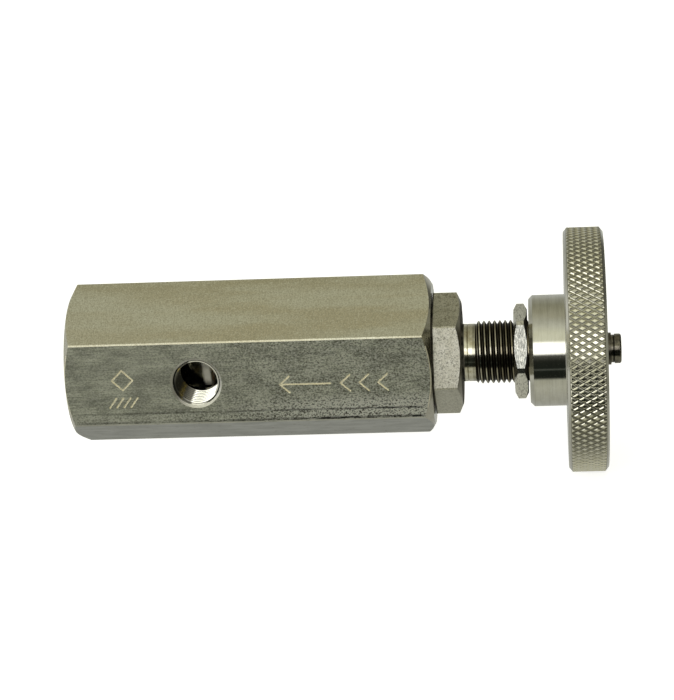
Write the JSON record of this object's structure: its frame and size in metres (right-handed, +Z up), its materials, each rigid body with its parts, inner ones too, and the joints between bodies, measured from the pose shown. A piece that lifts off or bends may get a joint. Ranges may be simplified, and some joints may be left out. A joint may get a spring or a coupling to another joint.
{
  "type": "pressure relief valve",
  "caption": "Inline spring-loaded pressure relief valve with hexagonal body, side exhaust port, bonnet, lock nut and knurled handwheel.",
  "frame": {"origin": "centre of the inlet face, on the valve's axis", "axes": "+X along the valve from the inlet to the handwheel, +Z up, exhaust port facing -Y"},
  "size_m": [0.1552, 0.069, 0.069],
  "materials": {
    "body_steel": "lengthwise brushed bright bar",
    "turned_steel": "turned",
    "nut_steel": "milled flats",
    "wheel_steel": "fine turned, diamond knurled rim",
    "spindle_steel": "dark turned",
    "hard_steel": "ground",
    "spring_steel": "drawn wire",
    "dark_spring_steel": "blackened wire",
    "bronze": "turned bronze",
    "seat_plastic": "machined plastic",
    "seal_plastic": "moulded plastic",
    "seal_rubber": "moulded rubber"
  },
  "bodies": {
    "housing": {"valve_body": "body_steel", "seat_insert": "hard_steel", "soft_seat": "seat_plastic", "seat_o_ring": "seal_rubber", "seat_retainer": "hard_steel", "poppet_guide": "bronze", "guide_retaining_ring": "spring_steel", "spring": "spring_steel", "bonnet": "turned_steel", "bonnet_o_ring": "seal_rubber"},
    "poppet_set": {"poppet": "hard_steel", "poppet_o_ring": "seal_rubber", "thrust_ball": "hard_steel", "lower_spring_plate": "turned_steel"},
    "spindle_set": {"spindle": "spindle_steel", "spindle_o_ring": "seal_rubber", "spindle_backup_ring": "seal_plastic", "upper_spring_plate": "turned_steel", "thrust_washer": "bronze", "retaining_ring": "dark_spring_steel"},
    "wheel": {"handwheel": "wheel_steel"},
    "nut": {"lock_nut": "nut_steel"}
  },
  "joints": [
    {"name": "poppet_lift", "type": "slide", "parent": "housing", "child": "poppet_set", "axis": [1, 0, 0], "range_m": [0, 0.0015], "stiffness_N_per_m": 3350, "springref_m": -0.0003, "deforming": ["spring"]},
    {"name": "spindle_feed", "type": "slide", "parent": "housing", "child": "spindle_set", "axis": [1, 0, 0], "range_m": [-0.0075, 0.0015], "deforming": ["spring"]},
    {"name": "wheel_turn", "type": "hinge", "parent": "spindle_set", "child": "wheel", "pos_m": [0.145, 0, 0], "axis": [1, 0, 0], "range_deg": [-1800, 360]},
    {"name": "lock_nut_turn", "type": "hinge", "parent": "wheel", "child": "nut", "pos_m": [0.1271, 0, 0], "axis": [1, 0, 0], "range_deg": [-252, 108]}
  ],
  "couplings": [
    {"joint": "spindle_feed", "follows": "wheel_turn", "m_per_rad": 0.00023873}
  ]
}
